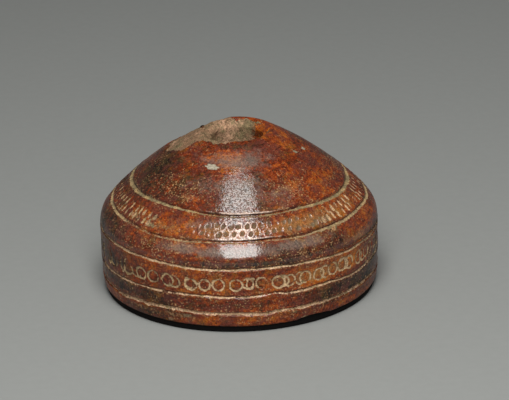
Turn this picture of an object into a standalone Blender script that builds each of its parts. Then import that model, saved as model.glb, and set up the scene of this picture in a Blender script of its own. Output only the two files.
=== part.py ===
"""A clay spindle whorl: a low turned dome with a bore for the spindle, incised rings and a belt of stamped circles.

Metres, +Z up. It stands on its flat underside with the bore on Z, and the side that shows in front faces -Y.
"""

import math

import bmesh
import bpy
from mathutils import Matrix, Vector

# Body
GREATEST_DIAMETER = 0.0378
HEIGHT = 0.0219
BORE_DIAMETER = 0.0070

# Outline, from the top down
LIP_WIDTH = 0.0013  # from the bore to the top of the crest
CREST_ROUND = 0.00085
MOUTH_ANGLE = math.radians(45)  # fall of the funnel from crest to bore
SLOPE_ARC = 0.047
SHOULDER_HEIGHT = 0.0095
SHOULDER_ROUND = 0.0030
WALL_ARC = 0.080
BELLY_HEIGHT = 0.0072
EDGE_HEIGHT = 0.00125
EDGE_ROUND = 0.00045
FOOT_DIAMETER = 0.0328  # the flat ring that it stands on

# Incised rings
SLOPE_RING_HEIGHT = 0.01486
SHOULDER_RING_HEIGHT = 0.01225
BELT_TOP_HEIGHT = 0.00885
BELT_FOOT_HEIGHT = 0.00517
BASE_RING_HEIGHT = 0.00279
RING_WIDTH = 0.00042
SLOPE_RING_WIDTH = 0.00060
RING_DEPTH = 0.00018

# Stamped circles, between the two rings of the belt
STAMP_DIAMETER = 0.00180
STAMP_GAP = 0.00017
STAMP_LINE = 0.00028
STAMP_DEPTH = 0.00014
STAMP_SIDES = 10

# Chips: where each lies, round from the front towards +X, and how far it runs and cuts
RIM_CHIP_TURN = math.radians(-97)
RIM_CHIP_REACH = 0.0090
RIM_CHIP_DROP = 0.00035
RIM_CHIP_WIDTH = 0.0074
EDGE_CHIP_TURN = math.radians(37)
EDGE_CHIP_TILT = math.radians(-38)
EDGE_CHIP_DEPTH = 0.00032

ARC_SPACING = 0.00005
FLATNESS = 0.00003  # how far a straight stretch of the outline may leave the true curve
OVERRUN = 0.001  # how far a cutter stands proud of what it cuts

SLIP_COLOUR = (0.20, 0.045, 0.016, 1.0)
SLIP_ROUGHNESS = 0.35


def arc(centre, radius, start, end):
    """Points along an arc in the (radius, height) plane, ends included, ARC_SPACING apart or less."""
    count = max(2, math.ceil(abs(end - start) * radius / ARC_SPACING))
    turns = (start + (end - start) * i / count for i in range(count + 1))
    return [centre + radius * Vector((math.cos(turn), math.sin(turn))) for turn in turns]


def direction(origin, point):
    return math.atan2(point.y - origin.y, point.x - origin.x)


def centre_inside(big_centre, big_radius, radius, height):
    """Centre, at this height, of a small arc that runs smoothly into a big arc round it."""
    reach = big_radius - radius
    return Vector((big_centre.x + math.sqrt(reach**2 - (height - big_centre.y) ** 2), height))


def centre_around(first, first_radius, second, second_radius, radius):
    """Centre of the big arc that runs smoothly into both small arcs."""
    to_first = radius - first_radius
    to_second = radius - second_radius
    apart = (second - first).length
    along = (second - first) / apart
    inward = Vector((along.y, -along.x))
    step = (to_first**2 - to_second**2 + apart**2) / (2 * apart)
    return first + along * step + inward * math.sqrt(to_first**2 - step**2)


def outer_side():
    """The outline from the mouth's funnel over crest, slope, shoulder and wall to the foot, with no rings cut."""
    wall_centre = Vector((GREATEST_DIAMETER / 2 - WALL_ARC, BELLY_HEIGHT))
    shoulder = centre_inside(wall_centre, WALL_ARC, SHOULDER_ROUND, SHOULDER_HEIGHT)
    edge = centre_inside(wall_centre, WALL_ARC, EDGE_ROUND, EDGE_HEIGHT)
    crest = Vector((BORE_DIAMETER / 2 + LIP_WIDTH, HEIGHT - CREST_ROUND))
    slope_centre = centre_around(crest, CREST_ROUND, shoulder, SHOULDER_ROUND, SLOPE_ARC)

    foot = Vector((FOOT_DIAMETER / 2, 0))
    to_foot = foot - edge
    foot_turn = direction(edge, foot) + math.acos(min(1, EDGE_ROUND / to_foot.length))
    slope_start, slope_end = direction(slope_centre, crest), direction(slope_centre, shoulder)
    wall_start, wall_end = direction(wall_centre, shoulder), direction(wall_centre, edge)
    points = arc(crest, CREST_ROUND, math.pi / 2 + MOUTH_ANGLE, slope_start)
    points += arc(slope_centre, SLOPE_ARC, slope_start, slope_end)[1:]
    points += arc(shoulder, SHOULDER_ROUND, slope_end, wall_start)[1:]
    points += arc(wall_centre, WALL_ARC, wall_start, wall_end)[1:]
    points += arc(edge, EDGE_ROUND, wall_end, foot_turn)[1:]
    return points + [foot]


def cut_ring(points, height, width):
    """The outline with a V-shaped ring cut square into it where it passes this height."""
    middle = min(range(1, len(points) - 1), key=lambda i: abs(points[i].y - height))
    along = (points[middle + 1] - points[middle - 1]).normalized()
    inward = Vector((along.y, -along.x))
    at = points[middle]
    before = [p for p in points[:middle] if (at - p).length > width / 2]
    after = [p for p in points[middle:] if (at - p).length > width / 2]
    groove = [at - along * width / 2, at + inward * RING_DEPTH, at + along * width / 2]
    return before + groove + after


def thinned(points):
    """The fewest of these points whose straight stretches stay within FLATNESS of all of them."""
    chord = points[-1] - points[0]
    square = Vector((chord.y, -chord.x)).normalized()
    off = [abs((p - points[0]).dot(square)) for p in points]
    furthest = max(range(len(points)), key=off.__getitem__)
    if off[furthest] <= FLATNESS:
        return [points[0], points[-1]]
    return thinned(points[: furthest + 1]) + thinned(points[furthest:])[1:]


def body_outline():
    """The closed section of the body: up the bore, down the outer side and in under the foot."""
    points = outer_side()
    points = cut_ring(points, SLOPE_RING_HEIGHT, SLOPE_RING_WIDTH)
    for height in (SHOULDER_RING_HEIGHT, BELT_TOP_HEIGHT, BELT_FOOT_HEIGHT, BASE_RING_HEIGHT):
        points = cut_ring(points, height, RING_WIDTH)
    bore = BORE_DIAMETER / 2
    funnel_drop = (points[0].x - bore) * math.tan(MOUTH_ANGLE)
    return [Vector((bore, 0)), Vector((bore, points[0].y - funnel_drop))] + thinned(points)


def belt_height():
    return (BELT_TOP_HEIGHT + BELT_FOOT_HEIGHT) / 2


def belt_radius():
    """Radius of the wall at the middle of the belt."""
    rise = belt_height() - BELLY_HEIGHT
    return GREATEST_DIAMETER / 2 - WALL_ARC + math.sqrt(WALL_ARC**2 - rise**2)


def stamp_count():
    return math.floor(2 * math.pi * belt_radius() / (STAMP_DIAMETER + STAMP_GAP))


def collection(name, shown):
    made = bpy.data.collections.new(name)
    made.hide_render = not shown
    bpy.context.scene.collection.children.link(made)
    return made


def object_from(mesh_data, name, home):
    """The bmesh as a named object in the collection."""
    mesh = bpy.data.meshes.new(name)
    mesh_data.to_mesh(mesh)
    mesh_data.free()
    made = bpy.data.objects.new(name, mesh)
    home.objects.link(made)
    return made


def make_body(home):
    """The turned body: the outline spun round Z, with one flat for each stamped circle."""
    outline = bmesh.new()
    corners = [outline.verts.new((p.x, 0, p.y)) for p in body_outline()]
    for corner, following in zip(corners, corners[1:] + corners[:1]):
        outline.edges.new((corner, following))
    body = object_from(outline, "whorl", home)
    turn = body.modifiers.new("turn", "SCREW")
    turn.axis = "Z"
    turn.angle = 2 * math.pi
    turn.steps = turn.render_steps = stamp_count()
    turn.use_merge_vertices = True
    turn.merge_threshold = 0.000001
    turn.use_smooth_shade = True
    return body


def make_stamp_cutter(home):
    """A ring of short tubes, each pressed square into its own flat of the wall."""
    tubes = bmesh.new()
    count = stamp_count()
    flat = belt_radius() * math.cos(math.pi / count)
    outer = STAMP_DIAMETER / 2
    section = [
        (outer - STAMP_LINE, flat - STAMP_DEPTH),
        (outer, flat - STAMP_DEPTH),
        (outer, flat + OVERRUN),
        (outer - STAMP_LINE, flat + OVERRUN),
    ]
    for i in range(count):
        turn = Matrix.Rotation(2 * math.pi * (i + 0.5) / count, 4, "Z")
        centre = Matrix.Translation((0, 0, belt_height()))
        corners = [tubes.verts.new(turn @ centre @ Vector((depth, 0, off))) for off, depth in section]
        edges = [tubes.edges.new((a, b)) for a, b in zip(corners, corners[1:] + corners[:1])]
        bmesh.ops.spin(
            tubes,
            geom=corners + edges,
            cent=turn @ Vector((0, 0, belt_height())),
            axis=turn @ Vector((1, 0, 0)),
            angle=2 * math.pi,
            steps=STAMP_SIDES,
            use_merge=True,
        )
    bmesh.ops.recalc_face_normals(tubes, faces=tubes.faces)
    return object_from(tubes, "stamp_cutter", home)


def make_block(name, home, point, turn, tilt, width, length, thickness):
    """A block whose inner face passes through the point (radius, height) at this turn from the front.

    The tilt is the angle of that face's normal above the horizontal.
    """
    block = bmesh.new()
    bmesh.ops.create_cube(block, size=1)
    bmesh.ops.translate(block, verts=block.verts, vec=(0.5, 0, 0))
    bmesh.ops.scale(block, verts=block.verts, vec=(thickness, width, length))
    place = (
        Matrix.Rotation(turn - math.pi / 2, 4, "Z")
        @ Matrix.Translation((point.x, 0, point.y))
        @ Matrix.Rotation(-tilt, 4, "Y")
    )
    bmesh.ops.transform(block, matrix=place, verts=block.verts)
    return object_from(block, name, home)


def make_rim_chip(home):
    """A flake lost from the crest, on a plane from the lowered crest out to where it meets the slope."""
    side = [p for p in outer_side() if p.y > SHOULDER_HEIGHT]
    reach = min(side, key=lambda p: abs(p.x - RIM_CHIP_REACH))
    crest = max(side, key=lambda p: p.y) - Vector((0, RIM_CHIP_DROP))
    tilt = direction(reach, crest) - math.pi / 2
    middle = (reach + crest) / 2
    length = 2 * (reach - crest).length
    return make_block(
        "rim_chip_cutter", home, middle, RIM_CHIP_TURN, tilt, RIM_CHIP_WIDTH, length, 4 * OVERRUN
    )


def make_edge_chip(home):
    """A flake lost from the foot's edge, on a plane that faces out and down."""
    normal = Vector((math.cos(EDGE_CHIP_TILT), math.sin(EDGE_CHIP_TILT)))
    furthest = max(outer_side(), key=lambda p: p.dot(normal))
    return make_block(
        "edge_chip_cutter",
        home,
        furthest - normal * EDGE_CHIP_DEPTH,
        EDGE_CHIP_TURN,
        EDGE_CHIP_TILT,
        GREATEST_DIAMETER / 2,
        GREATEST_DIAMETER / 2,
        4 * OVERRUN,
    )


def cut(body, cutter):
    cutter.hide_render = True
    cutter.display_type = "WIRE"
    difference = body.modifiers.new(cutter.name, "BOOLEAN")
    difference.operation = "DIFFERENCE"
    difference.solver = "EXACT"
    difference.object = cutter


def burnished_slip():
    material = bpy.data.materials.new("burnished_slip")
    material.use_nodes = True
    shader = material.node_tree.nodes["Principled BSDF"]
    shader.inputs["Base Color"].default_value = SLIP_COLOUR
    shader.inputs["Roughness"].default_value = SLIP_ROUGHNESS
    shader.inputs["Metallic"].default_value = 0.0
    return material


for old in list(bpy.data.objects):
    bpy.data.objects.remove(old, do_unlink=True)

parts = collection("clay_spindle_whorl", shown=True)
cutters = collection("cutters", shown=False)
whorl = make_body(parts)
cut(whorl, make_stamp_cutter(cutters))
cut(whorl, make_rim_chip(cutters))
cut(whorl, make_edge_chip(cutters))
whorl.data.materials.append(burnished_slip())
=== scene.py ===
"""A clay spindle whorl standing on a pale studio floor, set in the frame of the CAD model.

The object is in metres with +Z up, and the side that the camera sees faces -Y. The body is worked out in
millimetres, and its points are written into the mesh in metres.
"""

import math

import bpy
import numpy as np
from mathutils import Matrix, Vector


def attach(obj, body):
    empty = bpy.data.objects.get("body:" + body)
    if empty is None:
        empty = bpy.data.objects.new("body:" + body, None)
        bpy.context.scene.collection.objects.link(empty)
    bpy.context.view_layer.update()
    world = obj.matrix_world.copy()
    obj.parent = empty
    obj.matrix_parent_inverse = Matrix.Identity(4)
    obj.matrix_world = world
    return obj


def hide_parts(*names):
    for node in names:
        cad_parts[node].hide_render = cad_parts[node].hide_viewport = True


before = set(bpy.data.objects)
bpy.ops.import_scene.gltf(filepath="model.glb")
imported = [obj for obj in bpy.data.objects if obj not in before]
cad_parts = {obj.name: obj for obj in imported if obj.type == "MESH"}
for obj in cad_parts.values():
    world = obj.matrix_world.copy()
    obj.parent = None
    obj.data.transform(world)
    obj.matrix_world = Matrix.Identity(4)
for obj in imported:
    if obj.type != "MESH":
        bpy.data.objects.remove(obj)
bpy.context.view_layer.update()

# The body of the whorl, one lump of fired clay. It was shaped round a stick, so it is round about the bore
# and nearly even: a low dome with a rounded lip, a full shoulder, an upright wall and a flat foot.
BODY_RADIUS = 18.9
BODY_HEIGHT = 21.9
BORE_RADIUS = 3.5
LIP_WIDTH = 1.3
CREST_ROUND = 0.85
SLOPE_ARC = 47.0
SHOULDER_HEIGHT = 9.5
SHOULDER_ROUND = 3.0
WALL_ARC = 80.0
BELLY_HEIGHT = 7.2
EDGE_HEIGHT = 1.25
EDGE_ROUND = 0.45
FOOT_RADIUS = 18.3  # the low foot stands back under the wall's edge; its black band is painted shadow
CORNER_SOFTENING = 0.08
POINT_GAP = 0.02  # between the points that the outline is first worked out in


def arc(centre, radius, start, end):
    """Points round an arc: the centre plus the radius at evenly spaced turns."""
    turns = np.linspace(start, end, max(3, int(abs(end - start) * radius / POINT_GAP)))
    return np.stack([centre[0] + radius * np.cos(turns), centre[1] + radius * np.sin(turns)], axis=1)


def straight(start, end):
    """Points on a straight stretch, both ends included."""
    steps = np.linspace(0, 1, max(3, int(math.dist(start, end) / POINT_GAP)))[:, None]
    return np.array(start) * (1 - steps) + np.array(end) * steps


def heading(origin, point):
    """The turn from the radius's direction to the line from the origin to the point."""
    return math.atan2(point[1] - origin[1], point[0] - origin[0])


def body_outline():
    """The closed section as rows of (radius, height): up the bore, out over the lip, down the slope,
    shoulder and wall, and in under the foot. Five arcs run smoothly into one another. A small arc inside a
    big one has its centre a difference of radii from the big centre, and the slope's centre stands where
    that holds for both of the arcs that it joins. Returns the points and how many come before the lip."""
    wall = (BODY_RADIUS - WALL_ARC, BELLY_HEIGHT)

    def inside_wall(radius, height):
        """Centre, at this height, of a small arc that runs smoothly into the wall's arc."""
        return (wall[0] + math.sqrt((WALL_ARC - radius) ** 2 - (height - wall[1]) ** 2), height)

    shoulder = inside_wall(SHOULDER_ROUND, SHOULDER_HEIGHT)
    edge = inside_wall(EDGE_ROUND, EDGE_HEIGHT)
    crest = (BORE_RADIUS + LIP_WIDTH, BODY_HEIGHT - CREST_ROUND)
    to_crest, to_shoulder = SLOPE_ARC - CREST_ROUND, SLOPE_ARC - SHOULDER_ROUND
    apart = math.dist(crest, shoulder)
    along = ((shoulder[0] - crest[0]) / apart, (shoulder[1] - crest[1]) / apart)
    step = (to_crest**2 - to_shoulder**2 + apart**2) / (2 * apart)
    aside = math.sqrt(to_crest**2 - step**2)
    slope = (crest[0] + along[0] * step + along[1] * aside, crest[1] + along[1] * step - along[0] * aside)

    lip = arc(crest, CREST_ROUND, math.radians(135), heading(slope, crest))
    mouth_height = lip[0, 1] - (lip[0, 0] - BORE_RADIUS)
    under = arc(edge, EDGE_ROUND, heading(wall, edge), math.radians(-90))
    foot_top = (FOOT_RADIUS, under[-1, 1])
    foot = (FOOT_RADIUS, 0.0)
    before = [
        straight((BORE_RADIUS, 0.0), (BORE_RADIUS, mouth_height)),
        straight((BORE_RADIUS, mouth_height), lip[0])[1:],
    ]
    after = [
        lip[1:],
        arc(slope, SLOPE_ARC, heading(slope, crest), heading(slope, shoulder))[1:],
        arc(shoulder, SHOULDER_ROUND, heading(slope, shoulder), heading(wall, shoulder))[1:],
        arc(wall, WALL_ARC, heading(wall, shoulder), heading(wall, edge))[1:],
        under[1:],
        straight(under[-1], foot_top)[1:],
        straight(foot_top, foot)[1:],
        straight(foot, (BORE_RADIUS, 0.0))[1:-1],
    ]
    return np.concatenate(before + after), sum(len(part) for part in before)


def softened(points, reach):
    """The closed line with its corners rounded: each point is the mean of those within the reach of it."""
    count = int(reach / POINT_GAP)
    padded = np.concatenate([points[-count:], points, points[:count]])
    total = np.concatenate([np.zeros((1, 2)), np.cumsum(padded, axis=0)])
    width = 2 * count + 1
    return (total[width:] - total[:-width]) / width


outline, lip_start = body_outline()
outline = softened(outline, CORNER_SOFTENING)
outline_step = np.linalg.norm(np.roll(outline, -1, axis=0) - outline, axis=1)
outline_along = np.concatenate([[0], np.cumsum(outline_step)[:-1]])
outline_length = outline_step.sum()
outline_along -= outline_along[lip_start]  # nought at the lip, minus in the bore, plus down the outer side
tangent = np.roll(outline, -1, axis=0) - np.roll(outline, 1, axis=0)
tangent /= np.linalg.norm(tangent, axis=1, keepdims=True)
outline_facing = np.stack([-tangent[:, 1], tangent[:, 0]], axis=1)
BORE_FOOT = outline_along[0]


def rows_between(start, end, spacing):
    """Even distances along the outline from start to just short of end, at most the spacing apart."""
    return np.linspace(start, end, math.ceil((end - start) / spacing) + 1)[:-1]


# Rows of points stand close together where the clay is worked: at the lip, at the five rings, and in the two
# bands of punched and stamped marks, which also have three times as many columns.
WIDE_COLUMNS = 306
CLOSE_COLUMNS = 3 * WIDE_COLUMNS
DOT_BAND = (13.62, 15.90)
STAMP_BAND = (21.15, 23.55)
RING_PLACES = (12.62, 16.45, 20.30, 24.15, 26.60)
EDGE_TURN = 28.4  # on the wall's rounded edge, where it turns under
FOOT_FLAT = 29.8  # just in from the foot's lower corner


def rows_round(ring):
    """Stretches of rows for a ring's groove: 0.056 mm apart in the groove and 0.11 mm beside it."""
    near, far = 0.28, 0.50
    return [(ring - far, ring - near, 0.11), (ring - near, ring + near, 0.056),
            (ring + near, ring + far, 0.11)]


slope_at, shoulder_at, belt_top_at, belt_foot_at, base_at = RING_PLACES
bands = [
    (WIDE_COLUMNS, [(BORE_FOOT, -4.0, 1.4), (-4.0, -1.4, 0.4), (-1.4, 1.9, 0.15), (1.9, 6.4, 0.30),
                    (6.4, slope_at - 0.5, 0.48), *rows_round(slope_at), (slope_at + 0.5, DOT_BAND[0], 0.2)]),
    (CLOSE_COLUMNS, [(*DOT_BAND, 0.120)]),
    (WIDE_COLUMNS, [(DOT_BAND[1], shoulder_at - 0.5, 0.1), *rows_round(shoulder_at),
                    (shoulder_at + 0.5, belt_top_at - 0.9, 0.26), (belt_top_at - 0.9, belt_top_at - 0.5, 0.1),
                    *rows_round(belt_top_at), (belt_top_at + 0.5, STAMP_BAND[0], 0.18)]),
    (CLOSE_COLUMNS, [(*STAMP_BAND, 0.120)]),
    (WIDE_COLUMNS, [(STAMP_BAND[1], belt_foot_at - 0.5, 0.1), *rows_round(belt_foot_at),
                    (belt_foot_at + 0.5, base_at - 0.5, 0.29), *rows_round(base_at),
                    (base_at + 0.5, FOOT_FLAT, 0.15), (FOOT_FLAT, BORE_FOOT + outline_length, 1.5)]),
]
rows = []  # one (distance along the outline, number of columns) for each ring of points
for columns, stretches in bands:
    for stretch in stretches:
        rows += [(distance, columns) for distance in rows_between(*stretch)]
row_along = np.array([distance for distance, columns in rows])
row_columns = np.array([columns for distance, columns in rows])
row_first = np.concatenate([[0], np.cumsum(row_columns)])

turn = 2 * np.pi * (np.arange(row_first[-1]) - np.repeat(row_first[:-1], row_columns))
turn = turn / np.repeat(row_columns, row_columns) - np.pi  # nought in front, plus towards +X
degrees = np.degrees(turn)

dice = np.random.default_rng(41)
lattice_values = dice.random(65536)
SCATTER = (73856093, 19349663, 83492791, 2654435761)  # odd multipliers that part neighbouring cubes and seeds


def cloud(points, size, seed):
    """Soft noise from 0 to 1: random values stand on a lattice of cubes of this size, and between them the
    value is blended along each axis by 3t^2 - 2t^3."""
    cell = np.floor(points / size).astype(np.int64)
    part = points / size - cell
    part = part * part * (3 - 2 * part)
    value = np.zeros(len(points))
    for corner in ((0, 0, 0), (0, 0, 1), (0, 1, 0), (0, 1, 1), (1, 0, 0), (1, 0, 1), (1, 1, 0), (1, 1, 1)):
        at = cell + corner
        key = at[:, 0] * SCATTER[0] ^ at[:, 1] * SCATTER[1] ^ at[:, 2] * SCATTER[2] ^ seed * SCATTER[3]
        share = np.prod(np.where(corner, part, 1 - part), axis=1)
        value += share * lattice_values[(key ^ (key >> 15)) % len(lattice_values)]
    return value


def bell(distance, reach):
    """1 at no distance and falling away like a bell: e to the minus square of distance over reach."""
    return np.exp(-((distance / reach) ** 2))


def ramp(value, low, high):
    """0 below low, 1 above high, and 3t^2 - 2t^3 between."""
    part = np.clip((value - low) / (high - low), 0, 1)
    return part * part * (3 - 2 * part)


# Where the five rings run. They were scratched by hand, so each wavers up and down, and the rows of points
# that form its groove waver with it.


def knots(pairs):
    """A value round the whorl: straight between these (degrees, value) pairs, and alike where they meet."""
    turns, values = zip(*pairs)
    return np.interp(degrees, turns, values, period=360)


TREMBLE_CIRCLE = 18  # the noise of a ring's tremble is read round a circle of this radius
tremble_at = TREMBLE_CIRCLE * np.stack([np.sin(turn), -np.cos(turn), np.zeros(len(turn))], axis=1)


def hand_line(pairs, seed):
    """A ring's distance along the outline: its knots, with a slow and a quick tremble of soft noise."""
    slow = 0.09 * (cloud(tremble_at, 2.4, seed) - 0.5)
    return knots(pairs) + slow + 0.05 * (cloud(tremble_at, 0.9, seed) - 0.5)


slope_ring = hand_line([(-180, 12.85), (-120, 12.7), (-80, 12.3), (-47, 12.05), (-33, 12.12), (-20, 12.4),
                        (-1, 12.68), (17, 12.75), (34, 12.6), (48, 12.85), (65, 13.1), (110, 12.95)], 11)
shoulder_ring = hand_line([(-180, 16.5), (-110, 16.35), (-77, 16.28), (-62, 16.28), (-49, 16.45),
                           (-42, 16.62), (-34, 16.62), (-17, 16.42), (-1, 16.42), (14, 16.35), (28, 16.5),
                           (38, 16.43), (55, 16.42), (71, 16.36), (88, 16.7), (130, 16.6)], 12)
belt_top_ring = hand_line([(-180, 20.4), (-120, 20.2), (-76, 20.05), (-57, 19.95), (-50, 20.05),
                           (-39, 20.05), (-24, 20.2), (-16, 20.3), (8, 20.27), (25, 20.3), (34, 20.38),
                           (45, 20.57), (51, 20.7), (58, 20.62), (68, 20.75), (120, 20.6)], 13)
belt_foot_ring = hand_line([(-180, 24.2), (-110, 24.35), (-68, 24.45), (-51, 24.3), (-39, 24.25),
                            (-27, 24.13), (-20, 24.09), (-10, 24.12), (4, 24.17), (7, 24.1), (10, 23.95),
                            (15, 23.89), (17.5, 24.05), (20, 24.2), (26, 24.1), (39, 24.02), (45, 24.17),
                            (51, 24.28), (58, 24.28), (68, 24.07), (120, 24.25)], 14)
base_ring = hand_line([(-180, 26.6), (-110, 26.7), (-62, 26.85), (-58, 26.98), (-52, 26.72), (-45, 26.62),
                       (-40, 26.65), (-35, 26.45), (-25, 26.43), (-17, 26.57), (-7, 26.57), (2, 26.66),
                       (6.5, 26.72), (8.6, 26.80), (9.4, 26.84), (12, 26.66), (14, 26.5), (20, 26.55),
                       (27, 26.61), (38, 26.57), (58, 26.53), (68, 26.46), (79, 26.85), (130, 26.6)], 15)
ring_lines = (slope_ring, shoulder_ring, belt_top_ring, belt_foot_ring, base_ring)

even_along = np.repeat(row_along, row_columns)
along = even_along.copy()
for at, line, reach in zip(RING_PLACES, ring_lines, (1.0, 1.0, 1.0, 0.9, 1.0)):
    along += (line - at) * np.clip(1 - (np.abs(even_along - at) - 0.5) / reach, 0, 1)
radius = np.interp(along, outline_along, outline[:, 0])
height = np.interp(along, outline_along, outline[:, 1])
facing_out = np.interp(along, outline_along, outline_facing[:, 0])
facing_up = np.interp(along, outline_along, outline_facing[:, 1])
place = np.stack([radius * np.sin(turn), -radius * np.cos(turn), height], axis=1)

outside = ramp(along, 0.5, 3.0) * (1 - ramp(along, EDGE_TURN - 0.4, EDGE_TURN))
in_bore = 1 - ramp(along, -1.9, -1.0)
under_foot = ramp(along, FOOT_FLAT - 0.1, FOOT_FLAT + 0.4)

# Hand shaping. The potter turned the lump in the fingers and rubbed it with a pebble, so the wall swells and
# sinks a little, and long flat strokes of the pebble run round it.
relief = -0.07 * cloud(place, 8.0, 1) - 0.035 * cloud(place, 3.5, 2)
strokes = cloud(place * (1, 1, 3.2), 3.0, 3) + 0.6 * cloud(place * (1, 1, 4.5), 1.6, 4)
relief += outside * (0.022 * strokes - 0.03)
relief -= 0.016 * cloud(place, 0.9, 5)
relief -= in_bore * (0.16 * cloud(place, 1.5, 6) + 0.12 * cloud(place, 3.2, 7))

# The five rings, scratched with a point while the clay was leather-hard. It pressed deeper and shallower as
# it went and threw up a fine burr. Earth from the ground has stayed in them.
earth = np.zeros(len(along))


def groove(off, width, depth):
    """A scratched line across its width: a hollow of 1 - off^2 in the clay, and a low burr beside it."""
    bowl = np.clip(1 - (2 * off / width) ** 2, 0, 1)
    return depth * (0.22 * bell(np.abs(off) - 0.66 * width, 0.2 * width) - bowl)


def scratch_ring(middle, width, depth, strength, spread, seed):
    """Relief and earth of one ring: its groove, times how hard the point pressed, and the earth that lies
    mostly on the lower side of it, over this share of the width, and thins out here and there."""
    off = along - middle + 0.16 * (cloud(place, 0.5, seed + 7) - 0.5)
    press = strength * (0.65 + 0.7 * cloud(place, 1.7, seed))
    wide = width * (0.78 + 0.44 * cloud(place, 1.9, seed + 1))
    held = ramp(spread * wide - np.abs(off - (0.56 - spread) * wide), 0, 0.14) * np.clip(strength, 0, 1)
    held *= 0.50 + 0.45 * cloud(place, 2.3, seed + 2) + 0.45 * cloud(place, 0.8, seed + 3)
    return groove(off, wide, depth) * press, held


front_gloss = bell(degrees - 2, 33)  # the rings of the slope hold less earth in front
belt_foot_break = 1 - 0.45 * bell(degrees - 12, 4.0) - 0.8 * bell(degrees + 32.5, 1.0)
pale = np.zeros(len(along))  # where earth or clay is at its palest
painted_highlight = np.zeros(len(along))  # painted highlight: pale pink on the burr above each cut of the slope and on the ridges round the dots, in front
groove_shade = np.zeros(len(along))  # painted shade: a black line along the upper side of each cut, where its wall faces down into shadow
glint = np.zeros(len(along))  # the lower edge of a cut on the wall, worn smooth so that it shines
for middle, width, depth, strength, spread, paleness, seed in (
    (slope_ring, 0.78 - 0.32 * front_gloss, 0.21, 1.0 - 0.30 * front_gloss,
     0.44 - 0.14 * front_gloss, 0.06, 21),
    (shoulder_ring, 0.64 - 0.16 * front_gloss, 0.22, 1.0 - 0.25 * front_gloss - 0.45 * bell(degrees + 46, 20),
     0.42 - 0.12 * front_gloss, 0.15, 31),
    (belt_top_ring, 0.46, 0.20, 1.0, 0.38, 0.7, 41),
    (belt_foot_ring, 0.46, 0.21, belt_foot_break, 0.34, 0.9, 51),
    (base_ring, 0.50, 0.28, 1.20 - 0.4 * bell(degrees - 20, 4), 0.46, 1.0, 61),
):
    cut, held = scratch_ring(middle, width, depth, strength, spread, seed)
    relief += cut
    earth = np.maximum(earth, held)
    # Pale earth in the rings; in the rings of the wall its palest, near-white part is a painted highlight on
    # the lit lower edge of the cut.
    pale = np.maximum(pale, paleness * ramp(held, 0, 0.3))
    on_wall = paleness > 0.3
    if on_wall:
        lower_edge = bell(along - middle - 0.30 * width, 0.10)
        lower_edge *= ramp(paleness * cloud(place, 1.6, seed + 6), 0.25, 0.5)
        glint = np.maximum(glint, lower_edge * (1 - ramp(np.abs(degrees), 40, 62)))
    else:
        # Painted highlight along the burr above the cut, in front only.
        burr_highlight = 1.3 * bell(along - middle + 0.66 * width, 0.15) * bell(degrees - 3, 19)
        painted_highlight = np.maximum(painted_highlight, burr_highlight * (0.6 + 0.6 * cloud(place, 0.9, seed + 4)))
    # Painted shade: a thin black line along the upper side of the cut, stronger in front and half as strong
    # on the wall.
    depth_line = bell(along - middle + (0.50 - spread) * width + 0.10, 0.09 - 0.02 * on_wall)
    black = (0.55 + 0.45 * front_gloss) * (0.5 if on_wall else 1.0)
    groove_shade = np.maximum(groove_shade, black * depth_line * (0.4 + 0.9 * cloud(place, 1.3, seed + 5)))

# The point slipped and went over the top of the belt twice on the right.
second_line = ramp(degrees, 42, 48) * (1 - ramp(degrees, 84, 96))
cut, held = scratch_ring(belt_top_ring - 0.58, 0.30, 0.11, second_line, 0.40, 71)
relief += cut
earth = np.maximum(earth, 0.9 * held)

# The belt of stamped circles, pressed one by one with the end of a cut reed. Each has its own slip, lean and
# size: at the far left only one edge of the reed bit, so those marks run together as a chain of hooks.
STAMPS = 60
STAMP_MIDDLE = 22.40
STAMP_ROUND = 0.80
STAMP_START = math.radians(3)  # the stamp just right of the middle
STAMP_LINE = 0.33
STAMP_DEPTH = 0.12
stamp_slip = dice.normal(0, 0.10, STAMPS)
stamp_rise = dice.normal(0, 0.07, STAMPS)
stamp_wide = 1 + dice.normal(0, 0.05, STAMPS)
stamp_tall = 1 + dice.normal(0, 0.05, STAMPS)
stamp_press = 0.9 + dice.normal(0, 0.10, STAMPS)
stamp_lean = np.abs(dice.normal(0.25, 0.25, STAMPS))
stamp_lean_turn = dice.uniform(-np.pi, np.pi, STAMPS)
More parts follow.
